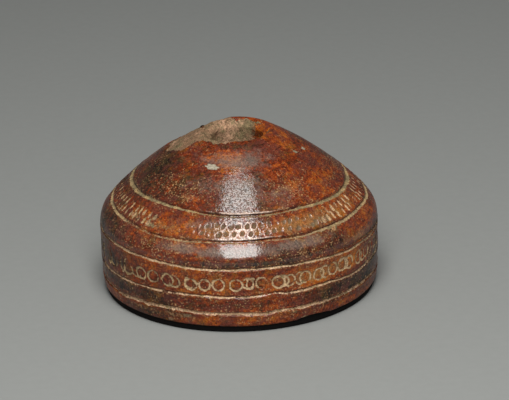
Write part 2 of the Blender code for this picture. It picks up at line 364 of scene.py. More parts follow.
# Stamps that show in front: number from the one just right of the middle, degrees off its place, rise in
# millimetres, breadth, height, pressure, lean, and which way it leans in degrees round from the right.
for number, slip, rise, wide, tall, press, lean, way in (
    (-13, 0.0, -0.20, 0.80, 1.20, 0.55, 1.40, 190),
    (-12, 1.4, 0.10, 0.75, 1.30, 0.60, 1.50, 340),
    (-11, -0.4, -0.25, 1.10, 0.90, 0.60, 1.30, 265),
    (-10, 1.0, 0.15, 0.70, 1.35, 0.65, 1.40, 200),
    (-9, -1.4, -0.20, 1.15, 1.05, 0.70, 1.30, 285),
    (-8, 0.6, -0.12, 1.08, 1.00, 1.15, 0.20, 215),
    (-7, 1.2, -0.05, 1.10, 0.98, 1.15, 0.20, 250),
    (-6, 2.2, -0.04, 1.10, 0.98, 1.00, 0.35, 200),
    (-5, -0.5, -0.15, 0.95, 0.95, 0.60, 0.95, -50),
    (-4, 0.7, -0.22, 1.03, 0.95, 1.00, 0.10, 90),
    (-3, 0.5, -0.12, 0.95, 0.98, 1.00, 0.15, 200),
    (-2, 0.2, -0.05, 0.98, 0.98, 1.00, 0.10, 90),
    (-1, 1.2, -0.10, 1.05, 0.98, 1.05, 0.20, 150),
    (0, 0.2, 0.12, 0.95, 0.92, 0.85, 0.55, 20),
    (1, -0.4, 0.12, 0.92, 1.00, 0.95, 0.75, 180),
    (2, 0.7, -0.02, 1.05, 1.05, 1.00, 0.15, 60),
    (3, -0.6, 0.02, 0.95, 0.98, 0.85, 0.40, 20),
    (4, 0.3, 0.05, 0.98, 0.98, 1.00, 0.15, 100),
    (5, 0.7, -0.05, 1.02, 1.00, 1.05, 0.10, 0),
    (6, 2.0, 0.10, 0.95, 1.02, 0.95, 0.25, 180),
    (7, 1.2, 0.12, 1.00, 1.02, 1.00, 0.25, 260),
    (8, -0.2, 0.05, 1.00, 1.05, 1.05, 0.20, 180),
    (9, 0.9, -0.05, 1.02, 1.08, 0.90, 0.45, 250),
    (10, 1.5, 0.10, 1.00, 1.05, 0.80, 0.70, 260),
):
    stamp_slip[number] = math.radians(slip) * BODY_RADIUS
    stamp_rise[number] = rise
    stamp_wide[number], stamp_tall[number], stamp_press[number] = wide, tall, press
    stamp_lean[number], stamp_lean_turn[number] = lean, math.radians(way)

stamp_relief = np.zeros(len(along))
stamp_earth = np.zeros(len(along))
stamp_inside = np.zeros(len(along))
stamp_waver = 0.12 * (cloud(place, 0.8, 71) - 0.5) + 0.12 * (cloud(place, 0.35, 74) - 0.5)
stamp_patchy = 0.30 + 1.30 * cloud(place, 0.6, 72)


def stamp(right, up, wide, tall, press, lean, lean_turn):
    """Relief, earth and floor of the reed's mark: a groove round the middle, pressed deeper on the side it
    leans to by 1 + lean * cos(turn from that side)."""
    from_middle = np.hypot(right / wide, up / tall)
    press = np.clip(press * (1 + lean * np.cos(np.arctan2(up, right) - lean_turn)), 0, 1.35)
    off = from_middle - STAMP_ROUND - stamp_waver
    held = ramp(0.60 * STAMP_LINE - np.abs(off), 0, 0.12) * np.clip(press, 0, 1) * stamp_patchy
    return (groove(off, STAMP_LINE * 1.2, STAMP_DEPTH) * press, held,
            ramp(STAMP_ROUND - from_middle, -0.1, 0.1) * np.clip(press, 0, 1))


pitch = 2 * np.pi / STAMPS
nearest = np.round((turn - STAMP_START) / pitch).astype(int)
marks = []
for beside in (-1, 0, 1):
    which = (nearest + beside) % STAMPS
    right = (turn - (nearest + beside) * pitch - STAMP_START) * BODY_RADIUS - stamp_slip[which]
    marks.append(stamp(right, STAMP_MIDDLE - along - stamp_rise[which], stamp_wide[which], stamp_tall[which],
                       stamp_press[which], stamp_lean[which], stamp_lean_turn[which]))
# Where the reed was struck twice: degrees, rise, breadth, height, pressure, lean and its way.
for at, rise, wide, tall, press, lean, way in (
    (-53.5, 0.10, 0.60, 1.20, 0.60, 1.2, 180),
    (-47.0, -0.25, 1.10, 0.80, 0.55, 1.3, 280),
    (-20.5, 0.05, 0.95, 0.95, 0.50, 0.9, 200),
    (4.5, 0.05, 0.80, 1.00, 0.65, 0.9, 170),
    (17.5, 0.10, 1.00, 0.95, 0.70, 0.7, 10),
    (25.0, 0.05, 0.90, 1.05, 0.65, 0.8, 200),
    (37.0, 0.05, 0.95, 1.05, 0.75, 0.6, 160),
    (47.5, 0.10, 0.95, 1.00, 0.80, 0.5, 20),
    (61.0, 0.05, 1.00, 1.10, 0.70, 0.8, 200),
):
    marks.append(stamp(np.radians(degrees - at) * BODY_RADIUS, STAMP_MIDDLE - along - rise, wide, tall, press,
                       lean, math.radians(way)))
for cut, held, floor_share in marks:
    stamp_relief = np.minimum(stamp_relief, cut)
    stamp_earth = np.maximum(stamp_earth, held)
    stamp_inside = np.maximum(stamp_inside, floor_share)
relief += stamp_relief - 0.035 * stamp_inside
earth = np.maximum(earth, stamp_earth)
pale = np.maximum(pale, (0.48 - 0.20 * ramp(-degrees, 5, 30)) * ramp(stamp_earth, 0, 0.3))
earth *= 1 - 0.12 * ramp(-degrees, 30, 50)

# Two rows of fine marks punched with a pointed stick between the upper rings, the lower row half a step on.
# In front they are round. Towards both sides the stick was held flatter and they run down the slope.
DOTS = 97
DOT_ROWS = ((14.25, 0.0), (15.32, 0.5))
DOT_RADIUS = 15.9  # of the slope at the two rows
dot_relief = np.zeros(len(along))
dot_earth = np.zeros(len(along))
faint = 1 - 0.6 * ramp(degrees, -47, -43) * (1 - ramp(degrees, -22, -14))
dot_step = 2 * np.pi / DOTS
stroke_side = ramp(np.abs(degrees), 34, 50)
for row_middle, row_shift in DOT_ROWS:
    dot_slip = dice.normal(0, 0.10, DOTS)
    dot_drop = dice.normal(0, 0.08, DOTS)
    dot_press = np.clip(0.85 + dice.normal(0, 0.28, DOTS), 0.1, 1.4)
    dot_broad = 1 + dice.normal(0, 0.14, DOTS)
    number = np.round(turn / dot_step - row_shift).astype(int)
    which = number % DOTS
    right = (turn - (number + row_shift) * dot_step) * DOT_RADIUS - dot_slip[which]
    down = along - row_middle - dot_drop[which]
    right = right - stroke_side * 0.10 * down * np.sign(degrees) + (1 - stroke_side) * 0.22 * down
    half_wide = (0.30 - 0.05 * stroke_side) * dot_broad[which]
    half_long = 0.40 + 0.28 * stroke_side
    from_middle = np.hypot(right / half_wide, down / half_long) + 0.5 * (cloud(place, 0.32, 73) - 0.5)
    hole = np.clip(1 - from_middle**2, 0, 1)
    press = dot_press[which] * faint
    rim = bell(from_middle - 1.25, 0.28)
    dot_relief += press * (0.034 * rim - 0.17 * hole)
    dot_earth = np.maximum(dot_earth, ramp(1.12 - from_middle, 0, 0.4) * np.clip(press, 0, 1))
    # Painted highlight on the ridges round the dots, in front only.
    painted_highlight = np.maximum(painted_highlight, bell(from_middle - 1.45, 0.32) * bell(degrees - 1, 20) * np.clip(press, 0, 1))
relief += dot_relief
pale = np.maximum(pale, (0.25 + 0.3 * ramp(degrees, -20, 20)) * stroke_side * ramp(dot_earth, 0, 0.3))

# Wear from the ground and from use: the lip has spalled away on the left, an edge of the foot has chipped
# off, and small flakes of the burnished skin are lost.
bare = np.zeros(len(along))


def degrees_from(centre):
    """Degrees from this turn, the short way round."""
    return (degrees - centre + 180) % 360 - 180


def patch(centre_degrees, centre_along, wide, tall, lean=0.0):
    """A soft spot on the skin: 1 at its middle, falling as a bell over its half breadth round the whorl and
    its half height down the outline, and leaning by the given share."""
    down = along - centre_along
    right = np.radians(degrees_from(centre_degrees)) * np.maximum(radius, 5) - lean * down
    return bell(np.hypot(right / wide, down / tall), 1.0)


def flake(centre_degrees, centre_along, wide, tall, depth, lean=0.0, edge=0.12):
    """A flat-bottomed flake: the clay is gone to one depth wherever the spot is stronger than e^-1, with a
    steep edge. Returns its relief and where the clay is bare."""
    spot = patch(centre_degrees, centre_along, wide, tall, lean) + 0.16 * (cloud(place, 0.6, 81) - 0.5)
    gone = ramp(spot, 0.37, 0.37 + edge)
    return -depth * gone, gone


for centre_degrees, centre_along, wide, tall, depth, lean, paleness in (
    (-22.6, 5.22, 1.22, 0.42, 0.10, 0.3, 1.0),
    (81, 5.6, 0.45, 0.30, 0.06, 0.0, 0.7),
    (66, 5.05, 0.34, 0.36, 0.06, 0.5, 0.45),
    (-83, 9.9, 1.10, 0.16, 0.05, 1.8, 0.0),
    (-22.5, 27.2, 0.60, 0.30, 0.09, -1.0, 0.1),
    (142, 7.5, 0.80, 0.45, 0.08, 0.2, 0.8),
    (-151, 18.6, 0.70, 0.55, 0.09, 0.0, 0.4),
    (168, 26.9, 0.95, 0.50, 0.12, 0.4, 0.3),
    (-128, 22.4, 0.50, 0.70, 0.08, 0.0, 0.0),
    (112, 16.9, 0.45, 0.30, 0.06, 0.0, 0.5),
    (27, 28.2, 0.50, 0.30, 0.09, 0.0, 0.0),
    (-30, 28.1, 0.60, 0.25, 0.06, 0.0, 0.0),
):
    cut, gone = flake(centre_degrees, centre_along, wide, tall, depth, lean)
    relief += cut
    bare = np.maximum(bare, gone)
    pale = np.maximum(pale, paleness * gone)

# The worn mouth: the lip has spalled away on the left down to a rough fracture. All round the mouth the skin
# is gone but at the right, and a crust of clay and earth lines the bore behind. The edge of the sound skin
# runs through these turns and reaches.
worn_reach = knots([(-180, 0.35), (-168, 1.3), (-160, 3.8), (-150, 5.6), (-138, 7.0), (-127, 7.4),
                    (-112, 6.9), (-100, 6.2), (-92, 6.5), (-84, 5.5), (-73, 4.95), (-69, 4.5), (-67, 3.6),
                    (-65.5, 2.5), (-63, 1.75), (-56, 1.45), (-40, 1.35), (-28, 1.40), (-17, 1.15),
                    (-7, 0.72), (8, 0.30), (40, 0.05), (80, 0.0), (130, 0.20)])
worn_reach = worn_reach + 0.8 * (cloud(place, 1.3, 91) - 0.5) + 0.5 * (cloud(place, 0.5, 92) - 0.5)
crust_foot = -5.2 - 1.6 * bell(degrees_from(-130), 50)
worn = ramp(worn_reach - along, 0, 0.16) * ramp(along - crust_foot, 0, 1.4)
worn *= 1 - 0.8 * bell(degrees - 112, 40) * (1 - ramp(along, -0.3, 0.5))
spall = bell(degrees_from(-103), 46) * ramp(along, -1.4, -0.4)
crust_side = bell(degrees_from(-138), 52)
crust = 0.62 + 0.9 * (cloud(place * (1, 1, 0.6), 1.1, 98) - 0.5)
relief += 1.25 * crust_side * ramp(along, -6.5, -2.4) * (1 - ramp(along, -1.8, 0.3)) * crust
crumbly = 0.22 * (cloud(place * (1, 1, 0.5), 0.6, 99) - 0.5)
relief += ramp(along, -9.0, -4.0) * (1 - ramp(along, 0.0, 1.0)) * crumbly
crust_seen = bell(degrees_from(-162), 44) * ramp(along, -6.5, -3.0) * (1 - ramp(along, -0.6, 1.0))
fracture = 0.09 + 0.27 * spall + 0.14 * (cloud(place, 1.7, 93) - 0.5) + 0.16 * (cloud(place, 0.7, 94) - 0.5)
relief -= worn * fracture
knob = bell(np.hypot((degrees + 112) / 6.5, (along - 0.9) / 0.55), 1.0)
relief += 0.42 * knob
bare = np.maximum(bare, worn * (1 - 0.9 * knob))
cracks = np.zeros(len(along))
for crack_degrees in (-152, -160):
    beside = np.radians(degrees - crack_degrees) * radius - 0.10 * np.sin(3 * along)
    cracks = np.maximum(cracks, bell(beside, 0.11) * ramp(along, -1.5, -1.1) * (1 - ramp(along, 0.8, 1.6)))
relief -= 0.16 * cracks

facing = np.stack([facing_out * np.sin(turn), -facing_out * np.cos(turn), facing_up], axis=1)
place = place + relief[:, None] * facing

# The chip out of the wall's lower edge in front, which broke off slantwise from below, and then the little
# scars of the foot.
CHIP_TURN = math.radians(31.5)
CHIP_TILT = math.radians(-55)
CHIP_DEPTH = 0.27
chip_facing = np.array([math.sin(CHIP_TURN) * math.cos(CHIP_TILT), -math.cos(CHIP_TURN) * math.cos(CHIP_TILT),
                        math.sin(CHIP_TILT)])
CHIP_FROM, CHIP_TO = 26.0, 28.7  # the stretch of the outline that the chip may reach
edge_points = outline[(outline_along > CHIP_FROM) & (outline_along < CHIP_TO)]
chip_plane = (edge_points @ (math.cos(CHIP_TILT), math.sin(CHIP_TILT))).max() - CHIP_DEPTH
proud = place @ chip_facing - chip_plane - 0.10 * (cloud(place, 1.2, 95) - 0.5) - 5 * (turn - CHIP_TURN) ** 2
proud = np.where((along > CHIP_FROM) & (along < CHIP_TO + 0.02), proud, 0)
place -= np.clip(proud, 0, None)[:, None] * chip_facing
chipped = ramp(proud, -0.02, 0.06)
place[:, 2] = np.maximum(place[:, 2], 0)
place[:, 2] += under_foot * (0.05 * cloud(place, 1.4, 96) + 0.10 * ramp(cloud(place, 2.3, 97), 0.6, 0.85))
# Painted shadow: the underside of the wall's edge, the low foot and the face of the chip are painted black,
# where shade falls under the overhang.
foot_shadow = np.maximum(ramp(along, EDGE_TURN + 0.05, EDGE_TURN + 0.35) * (1 - 0.6 * under_foot), chipped)

# How the fire and the ground coloured the slip, as amounts from 0 to 1 at each point. Smoke: where the flame
# was starved and the slip burnt dark. Flame: where it caught air and the slip is thin, bright and orange.
# Silt: pale mud dried on the skin. Crumbs: fine specks of it, thickest beside the rings. Painted sheen: a
# grey-mauve film painted as the haze beside the highlights on the slope and shoulder, with a few patches on
# the back. Wash: a thin ochre stain of the mud.


def spots(*places):
    """The strongest of these soft spots at each point. Each is given by its degrees round the whorl, its
    place down the outline, its half breadth, its half height and its amount."""
    strongest = np.zeros(len(along))
    for centre_degrees, centre_along, wide, tall, amount in places:
        strongest = np.maximum(strongest, amount * patch(centre_degrees, centre_along, wide, tall))
    return strongest


smoke = spots(
    (-112, 0.9, 0.6, 0.6, 1.0), (-20, 8.6, 5.5, 2.4, 0.6), (-6, 1.7, 3.6, 0.6, 0.9),
    (-84, 8.5, 6.5, 6.0, 1.0), (-100, 13.5, 5.0, 4.0, 0.9), (-78, 18.2, 6.0, 2.4, 1.0),
    (-76, 22.4, 8.0, 3.0, 1.0), (-60, 25.4, 7.0, 1.5, 0.8), (3, 10.2, 4.2, 3.4, 0.95),
    (2, 18.0, 9.0, 0.9, 0.60), (0, 19.7, 9.0, 0.5, 0.75), (-60, 9.5, 3.0, 4.5, 0.55),
    (-34, 18.2, 6.0, 1.3, 0.45), (-38, 11.0, 2.4, 0.9, 0.5), (54, 25.4, 9.5, 1.5, 1.0),
    (0, 25.4, 9.0, 0.5, 0.25), (40, 17.9, 5.0, 1.0, 0.2), (-50, 27.8, 5.0, 0.8, 0.6),
    (78, 23.6, 4.0, 2.4, 0.9), (28, 18.6, 5.0, 1.0, 0.45), (23, 27.6, 1.3, 0.7, 0.5),
    (-72, 7.0, 4.0, 3.0, 1.0), (150, 9.0, 7.0, 5.0, 0.9), (-160, 19.5, 9.0, 2.4, 0.9),
    (125, 24.8, 8.0, 1.8, 0.9), (-125, 25.2, 9.0, 2.0, 0.8),
)
flame = spots(
    (-58, 14.6, 6.0, 1.7, 1.0), (-33, 14.5, 6.0, 1.6, 1.0), (-12, 14.6, 4.0, 1.4, 0.6),
    (30, 14.4, 8.0, 1.7, 1.0), (62, 14.4, 7.0, 1.9, 1.0), (-46, 2.9, 2.9, 2.2, 1.0),
    (-36, 3.6, 1.6, 1.2, 1.0), (-44, 4.4, 3.0, 1.4, 1.0), (28, 6.8, 5.0, 4.0, 1.0), (20, 2.8, 3.5, 1.2, 0.7),
    (34, 22.4, 9.0, 1.6, 1.0), (-24, 27.6, 5.0, 0.7, 0.4), (25, 27.6, 8.0, 0.8, 0.35),
    (70, 22.3, 6.0, 1.4, 0.9), (-52, 9.3, 1.3, 0.9, 0.8), (-24, 10.9, 3.6, 1.3, 0.8),
    (64, 11.0, 3.4, 2.8, 1.0), (62, 5.0, 5.0, 4.5, 0.9), (40, 6.0, 4.0, 2.6, 0.7), (30, 10.5, 3.0, 1.3, 0.5),
    (67, 18.2, 6.0, 2.0, 1.0), (40, 19.3, 4.5, 0.9, 0.5), (27, 18.4, 0.9, 1.2, 0.75),
    (-3, 2.8, 5.0, 1.2, 0.45), (48, 22.2, 7.0, 1.4, 1.0), (100, 8.0, 4.0, 3.0, 0.8),
    (-140, 14.5, 9.0, 1.4, 0.9), (170, 14.6, 9.0, 1.3, 0.7), (118, 14.5, 8.0, 1.4, 0.9),
    (-172, 5.0, 3.5, 2.5, 0.7),
)
silt = spots(
    (22, 27.0, 0.9, 0.30, 0.9), (-27, 27.3, 2.0, 0.45, 0.7), (-46, 27.3, 1.6, 0.4, 0.6),
    (-36, 15.4, 2.0, 0.4, 0.7), (36, 15.6, 1.2, 0.5, 0.8), (-45, 15.5, 1.9, 0.45, 0.9),
    (-57, 15.1, 1.4, 0.5, 0.9), (46, 16.9, 1.6, 0.6, 0.9), (42, 15.3, 1.5, 0.7, 0.8),
    (-19, 16.3, 2.2, 0.35, 0.6), (-30, 27.0, 2.5, 0.5, 0.4), (25, 12.4, 1.6, 0.4, 0.6),
    (160, 17.0, 3.0, 1.0, 0.7), (-110, 16.5, 3.0, 0.8, 0.7), (95, 26.0, 3.0, 0.8, 0.6),
)
crumbs = spots(
    (-36, 18.2, 9.0, 1.5, 1.0), (34, 18.4, 8.0, 1.5, 1.0), (-40, 9.8, 6.0, 2.2, 0.9),
    (34, 9.6, 5.0, 2.0, 0.8), (0, 22.0, 22.0, 1.0, 0.5), (0, 25.3, 16.0, 0.8, 0.5),
    (16, 27.6, 9.0, 0.6, 0.6), (-42, 27.5, 8.0, 0.6, 0.8), (170, 17.0, 14.0, 3.0, 0.8),
    (-130, 10.0, 8.0, 3.0, 0.7), (110, 11.0, 8.0, 3.0, 0.7),
)
for line in ring_lines:
    crumbs = np.maximum(crumbs, 0.8 * bell(along - line, 0.75))
painted_sheen_spots = spots(
    (3, 9.2, 4.2, 4.2, 0.75), (1, 4.2, 6.0, 2.0, 0.9), (-20, 8.4, 5.5, 2.2, 0.55),
    (24, 10.4, 4.5, 1.8, 0.65), (-2, 17.9, 10.0, 1.0, 1.0), (-24, 17.7, 4.5, 0.9, 1.0),
    (-31, 10.8, 3.0, 1.2, 0.35), (26, 17.6, 6.0, 1.0, 1.0), (-12, 14.2, 6.0, 1.4, 0.65),
    (140, 18.0, 9.0, 1.2, 0.6), (-120, 9.0, 6.0, 3.0, 0.6),
)
wash = spots(
    (30, 14.8, 9.0, 1.5, 0.9), (-8, 15.0, 5.0, 1.4, 0.8), (-40, 15.0, 7.0, 1.5, 0.55),
    (60, 14.6, 5.0, 1.5, 0.7), (36, 17.5, 5.0, 0.8, 0.5), (60, 19.4, 4.0, 0.9, 0.7),
    (-32, 17.3, 5.0, 0.6, 0.5), (32, 22.4, 8.0, 1.2, 0.8), (-10, 22.4, 9.0, 0.9, 0.35),
    (33, 9.6, 3.4, 1.6, 0.5), (-30, 10.6, 3.4, 1.2, 0.35), (30, 27.4, 5.0, 0.8, 0.4),
    (-30, 27.6, 6.0, 0.8, 0.5), (120, 16.5, 9.0, 2.0, 0.7), (-150, 11.0, 8.0, 3.0, 0.6),
    (175, 22.0, 9.0, 2.5, 0.6),
)
# Inside the bore the silt thins out deeper down, and from about 4 mm in the slip is made darker.
bore_silt = 0.60 - 0.45 * (1 - ramp(along, -9.0, -2.5)) - 0.15 * bell(degrees - 120, 60)
silt = np.maximum(silt, in_bore * bore_silt)
smoke = np.maximum(smoke, in_bore * (1 - ramp(along, -9.0, -4.0)))

# Each band between the rings took slip, pebble and smoke in its own way. The tone is how much redder, or
# with a minus how much darker, a band or a patch in it has come out than the rest.
tone = np.zeros(len(along))
for upper, lower, redder in (
    (slope_ring, shoulder_ring, 0.06),
    (shoulder_ring + 2.5, belt_top_ring, -0.10),
    (belt_top_ring, belt_foot_ring, 0.06),
    (belt_foot_ring, base_ring, -0.07),
    (base_ring, base_ring + 2.5, 0.02),
):
    tone += redder * ramp(along - upper, -0.15, 0.15) * (1 - ramp(along - lower, -0.15, 0.15))
for centre_degrees, centre_along, wide, tall, redder in (
    (-42, 3.6, 3.4, 1.9, 0.17),
    (34, 7.6, 5.5, 3.6, 0.09),
    (67, 18.2, 5.0, 1.5, 0.12),
    (36, 22.4, 9.0, 1.3, 0.16),
    (60, 22.2, 7.0, 1.3, 0.16),
    (-33, 14.5, 5.0, 1.0, 0.06),
    (14, 27.7, 9.0, 0.8, 0.05),
):
    tone += redder * patch(centre_degrees, centre_along, wide, tall)
tone -= 0.09 * stamp_inside

# The pebble reached the slope and the shoulder well, and the upright wall less.
down_slope = 0.38 + 0.50 * ramp(along, 5.0, 11.5) + 0.24 * ramp(along, 12.5, 14.0)
gloss = (1 - 0.62 * ramp(along, 19.3, 20.3)) * ramp(along, 0.6, 1.6) * down_slope
polish = ramp(along, 16.6, 17.2) * (1 - ramp(along, 19.3, 20.0))

# The body's mesh: rows of points joined by strips of triangles, three narrow columns to a wide one where two
# bands meet, and the last row joined to the first, so the skin is closed round the bore.


def strip(upper, lower):
    """Triangles between two rings of points. Rings of the same number give two for each column. Where one
    has three times as many, each wide column takes one from its own side and three from the other."""
    wide_count, close_count = sorted((row_columns[upper], row_columns[lower]))
    column = np.arange(wide_count)
    after = (column + 1) % wide_count
    if wide_count == close_count:
        top, bottom = row_first[upper], row_first[lower]
        first = np.stack([top + column, bottom + column, bottom + after], axis=1)
        second = np.stack([top + column, bottom + after, top + after], axis=1)
        return np.concatenate([first, second])
    wide_row, close_row = (upper, lower) if row_columns[upper] == wide_count else (lower, upper)
    wide, close = row_first[wide_row], row_first[close_row]
    steps = [close + (3 * column + i) % close_count for i in range(4)]
    made = np.concatenate([
        np.stack([wide + column, steps[0], steps[1]], axis=1),
        np.stack([wide + column, steps[1], steps[2]], axis=1),
        np.stack([wide + column, steps[2], wide + after], axis=1),
        np.stack([wide + after, steps[2], steps[3]], axis=1),
    ])
    return made if wide_row == upper else made[:, ::-1]


row_total = len(row_along)
triangles = np.concatenate([strip(upper, (upper + 1) % row_total) for upper in range(row_total)])
MILLIMETRE = 0.001
mesh = bpy.data.meshes.new("burnished_whorl")
mesh.from_pydata(place * MILLIMETRE, [], triangles)
mesh.shade_smooth()
for name, amount in (
    ("earth", earth), ("dot_earth", dot_earth), ("bare", bare), ("smoke", smoke), ("flame", flame),
    ("silt", silt), ("foot_shadow", foot_shadow), ("strokes", stroke_side), ("pale", pale), ("gloss", gloss),
    ("polish", polish), ("groove_shade", groove_shade), ("glint", glint), ("crumbs", crumbs), ("crust", crust_seen),
    ("painted_sheen", painted_sheen_spots), ("tone", tone + 0.5), ("painted_highlight", painted_highlight), ("wash", wash),
):
    values = np.clip(amount, 0, 1).astype(np.float32)
    mesh.attributes.new(name, "FLOAT", "POINT").data.foreach_set("value", values)
whorl = bpy.data.objects.new("burnished_whorl", mesh)
bpy.context.scene.collection.objects.link(whorl)
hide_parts("whorl")
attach(whorl, "root")

# The finish: an iron-red slip brushed over buff clay and rubbed with a pebble until it shone, then fired
# unevenly and buried. It is dark red to brown-black with orange where it is thin, glossy on the skin and
# dull in the earth.
slip = bpy.data.materials.new("burnished slip")
slip.use_nodes = True
nodes, links = slip.node_tree.nodes, slip.node_tree.links
nodes.clear()


def node(kind, **settings):
    """A new node of this kind with these settings."""
    made = nodes.new(kind)
    for name, value in settings.items():
        setattr(made, name, value)
    return made


def feed(socket, value):
    """Link an output to the socket, or set the socket to a plain value."""
    if isinstance(value, bpy.types.NodeSocket):
        links.new(value, socket)
    else:
        socket.default_value = value


def reckon(operation, first, second):
    """One step of arithmetic on two numbers or outputs."""
    made = node("ShaderNodeMath", operation=operation)
    feed(made.inputs[0], first)
    feed(made.inputs[1], second)
    return made.outputs[0]


def plus(first, second):
    """The sum of two numbers or outputs."""
    return reckon("ADD", first, second)


def minus(first, second):
    """The first number or output less the second."""
    return reckon("SUBTRACT", first, second)


def times(first, second):
    """The product of two numbers or outputs."""
    return reckon("MULTIPLY", first, second)


def larger(first, second):
    """The larger of two numbers or outputs."""
    return reckon("MAXIMUM", first, second)


def blend(share, first, second):
    """A colour between the first and the second by this share."""
    made = node("ShaderNodeMix", data_type="RGBA")
    made.clamp_factor = True
    feed(made.inputs[0], share)
    feed(made.inputs[6], first)
    feed(made.inputs[7], second)
    return made.outputs[2]


def stepped(value, low, high):
    """0 below low and 1 above high, smooth between."""
    made = node("ShaderNodeMapRange", interpolation_type="SMOOTHSTEP")
    feed(made.inputs[0], value)
    made.inputs[1].default_value, made.inputs[2].default_value = low, high
    return made.outputs[0]


def amount_of(name):
    """One of the amounts that the mesh carries at its points."""
    return node("ShaderNodeAttribute", attribute_name=name).outputs["Fac"]


where = node("ShaderNodeTexCoord").outputs["Object"]


def pressed_flat(count):
    """The place on the object in millimetres, with its height counted this many times over."""
    made = node("ShaderNodeMapping")
    made.inputs["Scale"].default_value = (1 / MILLIMETRE, 1 / MILLIMETRE, count / MILLIMETRE)
    links.new(where, made.inputs["Vector"])
    return made


millimetres = pressed_flat(1)
flattened = pressed_flat(3.4)
hairline = pressed_flat(11)


def grain(size, detail=2.0, rough=0.5, shift=0.0, lie=millimetres):
    """Noise about 0.5 whose features are this many millimetres across."""
    made = node("ShaderNodeTexNoise", noise_dimensions="4D")
    links.new(lie.outputs[0], made.inputs["Vector"])
    made.inputs["W"].default_value = shift
    made.inputs["Scale"].default_value = 1 / size
    made.inputs["Detail"].default_value = detail
    made.inputs["Roughness"].default_value = rough
    return made.outputs["Fac"]


BROWN_BLACK = (0.018, 0.009, 0.005, 1)
SMOKED_BROWN = (0.080, 0.026, 0.010, 1)
DARK_RED = (0.150, 0.022, 0.006, 1)
RED_BROWN = (0.270, 0.045, 0.009, 1)
ORANGE_RED = (0.390, 0.085, 0.010, 1)
ORANGE = (0.500, 0.145, 0.016, 1)
BRIGHT_ORANGE = (0.620, 0.230, 0.040, 1)
OLIVE_SMOKE = (0.080, 0.052, 0.016, 1)
PURPLE_BROWN = (0.135, 0.036, 0.026, 1)
PALE_EARTH_AND_HIGHLIGHT = (0.990, 0.670, 0.420, 1)
PALE_EARTH = (0.480, 0.325, 0.145, 1)
GREY_EARTH = (0.222, 0.172, 0.088, 1)
DULL_EARTH = (0.200, 0.140, 0.085, 1)
PINK_SILT = (0.500, 0.270, 0.130, 1)
PALE_CLAY = (0.470, 0.410, 0.310, 1)
WORN_CLAY = (0.300, 0.172, 0.100, 1)
DARK_CLAY = (0.120, 0.078, 0.045, 1)
PINK_CLAY = (0.580, 0.345, 0.215, 1)
SHEEN_GREY = (0.230, 0.170, 0.135, 1)
OCHRE_WASH = (0.400, 0.200, 0.065, 1)
CRUMB = (0.570, 0.350, 0.160, 1)
THIN_OCHRE = (0.330, 0.120, 0.012, 1)
HIGHLIGHT_PINK = (0.860, 0.630, 0.510, 1)
# Black for the painted shadow on the foot and the painted shade in the cuts.
SHADOW_BLACK = (0.006, 0.005, 0.005, 1)


def off_middle(noise, strength):
    """How far a noise is from its middle, times this strength."""
    return times(minus(noise, 0.5), strength)


# The slip's own colour: how hot and how airy each place was in the fire, from brown-black through red to
# orange, as a fractal of the fire's patches with the named clouds of smoke and flame added.
heat = plus(0.50, off_middle(grain(9.0, 3, 0.6, 1.0), 1.2))
heat = plus(heat, off_middle(grain(3.2, 8, 0.78), 1.1))
heat = plus(heat, off_middle(grain(2.0, 6, 0.75, 3.0, lie=flattened), 0.8))
unlit = minus(1.0, times(amount_of("flame"), 0.85))
calm = minus(1.0, times(amount_of("flame"), 0.6))
heat = plus(heat, times(off_middle(grain(0.50, 4, 0.75, 2.0), 1.4), calm))
heat = plus(heat, off_middle(amount_of("tone"), 1.0))
heat = plus(heat, times(amount_of("flame"), 0.50))
heat = minus(heat, times(amount_of("smoke"), 0.42))
fire = node("ShaderNodeValToRGB")
links.new(heat, fire.inputs[0])
stops = fire.color_ramp.elements
for position, shade in (
    (0.22, SMOKED_BROWN), (0.40, DARK_RED), (0.54, RED_BROWN), (0.68, ORANGE_RED), (0.82, ORANGE),
):
    stops.new(position).color = shade
stops[0].position, stops[0].color = 0.06, BROWN_BLACK
stops[-1].position, stops[-1].color = 1.0, BRIGHT_ORANGE
colour = fire.outputs[0]
thin = minus(0.55, times(amount_of("smoke"), 0.50))
colour = blend(times(stepped(grain(1.8, 6, 0.7, 60.0), 0.53, 0.62), thin), colour, THIN_OCHRE)
purple = times(stepped(grain(2.2, 5, 0.7, 9.0), 0.47, 0.59), times(unlit, 0.65))
colour = blend(purple, colour, PURPLE_BROWN)
olive = stepped(plus(grain(1.6, 5, 0.65, 14.0), times(amount_of("smoke"), 0.10)), 0.58, 0.68)
olive = times(olive, times(unlit, 0.45))
colour = blend(olive, colour, OLIVE_SMOKE)
dark_flecks = stepped(grain(0.36, 3, 0.7, 16.0), 0.57, 0.66)
colour = blend(times(dark_flecks, times(calm, 0.6)), colour, BROWN_BLACK)
specks = plus(grain(0.25, 2, 0.7, 18.0), times(amount_of("crumbs"), 0.10))
specks = stepped(plus(specks, off_middle(grain(1.6, 3, 0.6, 19.0), 0.34)), 0.63, 0.70)
colour = blend(times(specks, 0.68), colour, CRUMB)

# On the skin: hairlines left by the pebble, the grey painted sheen, the ochre wash and painted highlights on
# the edges of cuts and dots in front.
hairs = grain(2.0, 3, 0.65, 50.0, lie=hairline)
colour = blend(times(stepped(hairs, 0.57, 0.66), 0.55), colour, BROWN_BLACK)
colour = blend(times(stepped(hairs, 0.42, 0.34), 0.14), colour, PINK_SILT)
# Painted sheen: the grey-mauve haze beside the highlights.
sheen_share = stepped(plus(amount_of("painted_sheen"), off_middle(grain(0.8, 6, 0.75, 43.0), 2.0)), 0.30, 0.95)
colour = blend(times(sheen_share, 0.65), colour, SHEEN_GREY)
wash_share = stepped(plus(amount_of("wash"), off_middle(grain(0.9, 6, 0.75, 44.0), 2.4)), 0.30, 0.95)
colour = blend(times(wash_share, 0.62), colour, OCHRE_WASH)
